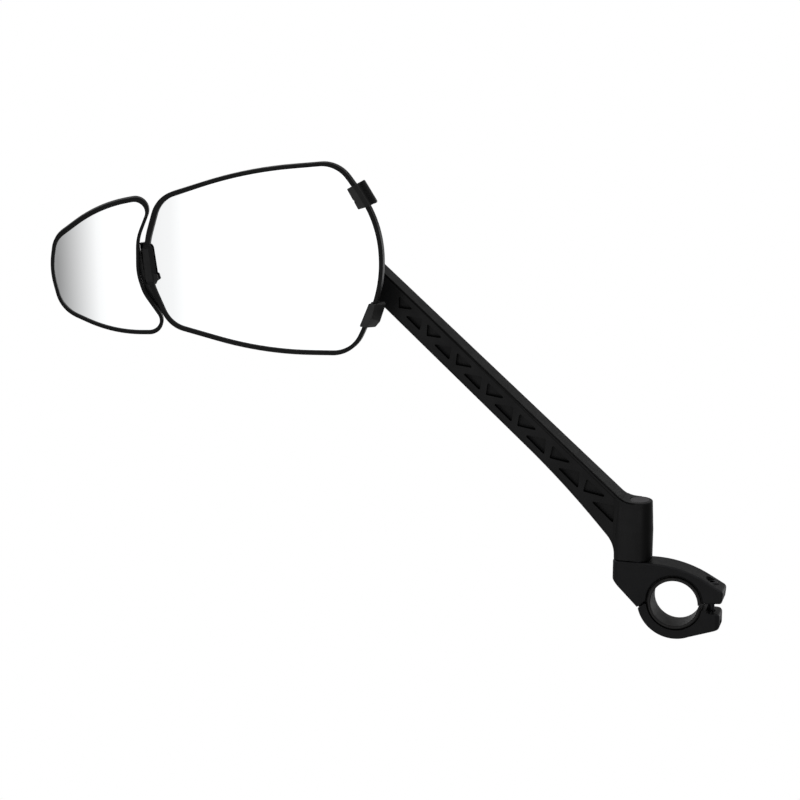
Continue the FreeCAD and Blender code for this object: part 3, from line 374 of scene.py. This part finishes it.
def paint_upper_edge_highlights(material):
    """Painted highlight: the rounded edges below a top face are made lighter, as if they caught the light."""
    tree = material.node_tree
    normal = components(tree, "Normal")
    rounded = combine(
        tree, "MULTIPLY",
        within(tree, with_number(tree, "ABSOLUTE", normal["Y"]), *HIGHLIGHT_NORMAL_Y),
        within(tree, normal["Z"], *HIGHLIGHT_NORMAL_Z),
    )
    scale_colour(material, spread(tree, rounded, (0.0, 1.0), (1.0, EDGE_HIGHLIGHT_GAIN)))


MATERIALS = {name: moulded_plastic(name, *values) for name, values in PLASTICS.items()}
MATERIALS.update({name: metal(name, *values) for name, values in METALS.items()})
MATERIALS["mirror"] = mirror_silver()
# Painted shade and sheen on the arm, and a painted highlight on the clamp's upper edges.
paint_arm_shade_and_sheen(MATERIALS["arm_plastic"])
paint_upper_edge_highlights(MATERIALS["clamp_plastic"])


def dress_frame():
    """Gives each CAD node the material of its slot; the hinge bridge's is a darker moulding."""
    for part in frame["record"]["subparts"]:
        mesh = nodes[part["node"]].data
        mesh.materials.clear()
        finish = "hinge_plastic" if part["node"] == "hinge_bridge" else part["material_slot"]
        mesh.materials.append(MATERIALS[finish])


# ======================= meshes =======================

def new_object(name, points, faces, material):
    """A mesh in the shared frame, with one material."""
    mesh = bpy.data.meshes.new(name)
    mesh.from_pydata(points, [], faces)
    mesh.materials.append(material)
    obj = bpy.data.objects.new(name, mesh)
    bpy.context.scene.collection.objects.link(obj)
    return obj


def screw_thread():
    """Helical thread on the clamp screw's shank, seen in the gap between the jaws."""
    low, high = THREAD_Z
    root, crest = THREAD_RADII
    profile = ((root, -THREAD_HALF_WIDTH), (crest, 0.0), (root, THREAD_HALF_WIDTH))
    count = int((high - low) / THREAD_PITCH * THREAD_STEPS)
    points = []
    for i in range(count + 1):
        angle = 2 * math.pi * i / THREAD_STEPS
        z = low + THREAD_PITCH * i / THREAD_STEPS
        for radius, rise in profile:
            points.append((SCREW_AXIS_X + radius * math.cos(angle), radius * math.sin(angle), z + rise))
    last = 3 * count
    faces = []
    for a in range(0, last, 3):
        b = a + 3
        faces += [(a, b, b + 1, a + 1), (a + 1, b + 1, b + 2, a + 2), (a + 2, b + 2, b, a)]
    faces += [(0, 1, 2), (last + 2, last + 1, last)]
    thread = new_object("clamp_screw_thread", points, faces, MATERIALS["black_steel"])
    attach(thread, "clamp_screw")


# ======================= studio =======================

def emissive(name, strength):
    """A material that only glows."""
    material = bpy.data.materials.new(name)
    material.use_nodes = True
    tree = material.node_tree
    tree.nodes.remove(tree.nodes["Principled BSDF"])
    glow = tree.nodes.new("ShaderNodeEmission")
    glow.inputs["Strength"].default_value = strength
    tree.links.new(glow.outputs["Emission"], tree.nodes["Material Output"].inputs["Surface"])
    return material


def room_piece(name, points, faces, material):
    """A piece of the room, which only the camera sees."""
    piece = new_object(name, points, faces, material)
    piece.visible_diffuse = False
    piece.visible_glossy = False
    piece.visible_transmission = False
    piece.visible_shadow = False


def make_room():
    """Pale floor, walls and roof, all far from the object."""
    half = ROOM_HALF
    square = [(-half, -half, FLOOR_Z), (half, -half, FLOOR_Z), (half, half, FLOOR_Z), (-half, half, FLOOR_Z)]
    roof = [(x, y, half) for x, y, z in square]
    walls = [(i, (i + 1) % 4, (i + 1) % 4 + 4, i + 4) for i in range(4)]
    material = emissive("pale_floor", 1.0)
    room_piece("floor", square, [(0, 1, 2, 3)], material)
    room_piece("backdrop", square + roof, walls + [(4, 5, 6, 7)], material)


def reflection_card(name, card):
    """An upright card that only reflections see; returns its material."""
    left, right = card["x"]
    low, high = card["z"]
    y = card["y"]
    corners = [(left, y, low), (right, y, low), (right, y, high), (left, y, high)]
    material = emissive(name, card["strength"])
    piece = new_object(name, corners, [(0, 1, 2, 3)], material)
    piece.visible_camera = False
    piece.visible_diffuse = False
    piece.visible_shadow = False
    return material


def make_cards():
    """White card in front, graded from side to side, and a plain one behind for a soft sheen on the back."""
    tree = reflection_card("reflection_card", FRONT_CARD).node_tree
    grey = graded(tree, components(tree, "Object")["X"], FRONT_CARD_LEVELS, FRONT_CARD["x"])
    tree.links.new(grey, tree.nodes["Emission"].inputs["Color"])
    reflection_card("rear_card", REAR_CARD)


def make_world():
    """Even white light from all round."""
    world = bpy.data.worlds.new("studio")
    bpy.context.scene.world = world
    world.use_nodes = True
    background = world.node_tree.nodes["Background"]
    background.inputs["Color"].default_value = (1.0, 1.0, 1.0, 1.0)
    background.inputs["Strength"].default_value = WORLD_STRENGTH


def overhead_light():
    """Large soft light above and to the left of the object."""
    data = bpy.data.lights.new("overhead", "AREA")
    data.shape = "RECTANGLE"
    data.size, data.size_y = LIGHT_SIZE
    data.energy = LIGHT_WATTS
    light = bpy.data.objects.new("overhead", data)
    light.location = LIGHT_LOCATION
    light.rotation_mode = "QUATERNION"
    light.rotation_quaternion = (LIGHT_TARGET - LIGHT_LOCATION).to_track_quat("-Z", "Y")
    bpy.context.scene.collection.objects.link(light)


def make_camera():
    """Camera on a line through its target, at an angle to the right of the handlebar and above it."""
    data = bpy.data.cameras.new("camera")
    data.lens = LENS_MM
    data.sensor_width = SENSOR_MM
    camera = bpy.data.objects.new("camera", data)
    azimuth = math.radians(CAMERA_AZIMUTH)
    elevation = math.radians(CAMERA_ELEVATION)
    back = Vector((
        math.sin(azimuth) * math.cos(elevation),
        -math.cos(azimuth) * math.cos(elevation),
        math.sin(elevation),
    ))
    camera.location = CAMERA_TARGET + back * CAMERA_DISTANCE
    camera.rotation_mode = "QUATERNION"
    camera.rotation_quaternion = (-back).to_track_quat("-Z", "Y")
    bpy.context.scene.collection.objects.link(camera)
    bpy.context.scene.camera = camera


bpy.context.scene.view_settings.view_transform = "Standard"
make_camera()
make_world()
make_room()
make_cards()
overhead_light()
dress_frame()
screw_thread()
